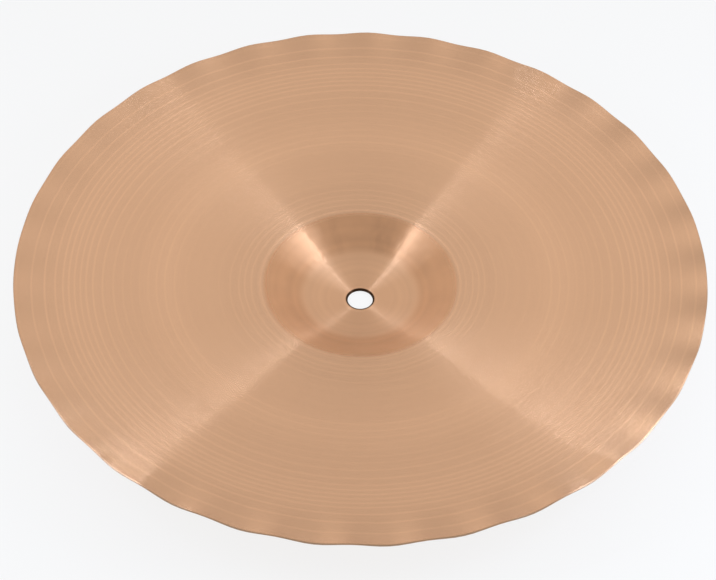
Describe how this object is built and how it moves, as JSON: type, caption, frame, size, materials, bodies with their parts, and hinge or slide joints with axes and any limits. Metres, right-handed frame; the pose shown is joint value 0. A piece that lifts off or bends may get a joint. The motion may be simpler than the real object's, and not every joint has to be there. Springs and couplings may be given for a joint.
{
  "type": "hi-hat cymbal",
  "caption": "Bottom hi-hat cymbal: a thin lathed bronze disc, hollow side up, with a domed bell, a shallow bow, a rippled edge and a centre hole for the stand's rod.",
  "frame": {"origin": "centre of the hole on the outer face of the bell's crown, the lowest face, which the seat felt carries", "axes": "+Z along the hole, out of the hollow side; +X through a crest of the rippled edge"},
  "size_m": [0.3556, 0.3556, 0.033],
  "materials": {
    "lathed_bronze": "lathed bronze with fine grooves round the centre, satin, no lacquer"
  },
  "bodies": {
    "root": {"bottom_cymbal": "lathed_bronze"}
  },
  "joints": []
}
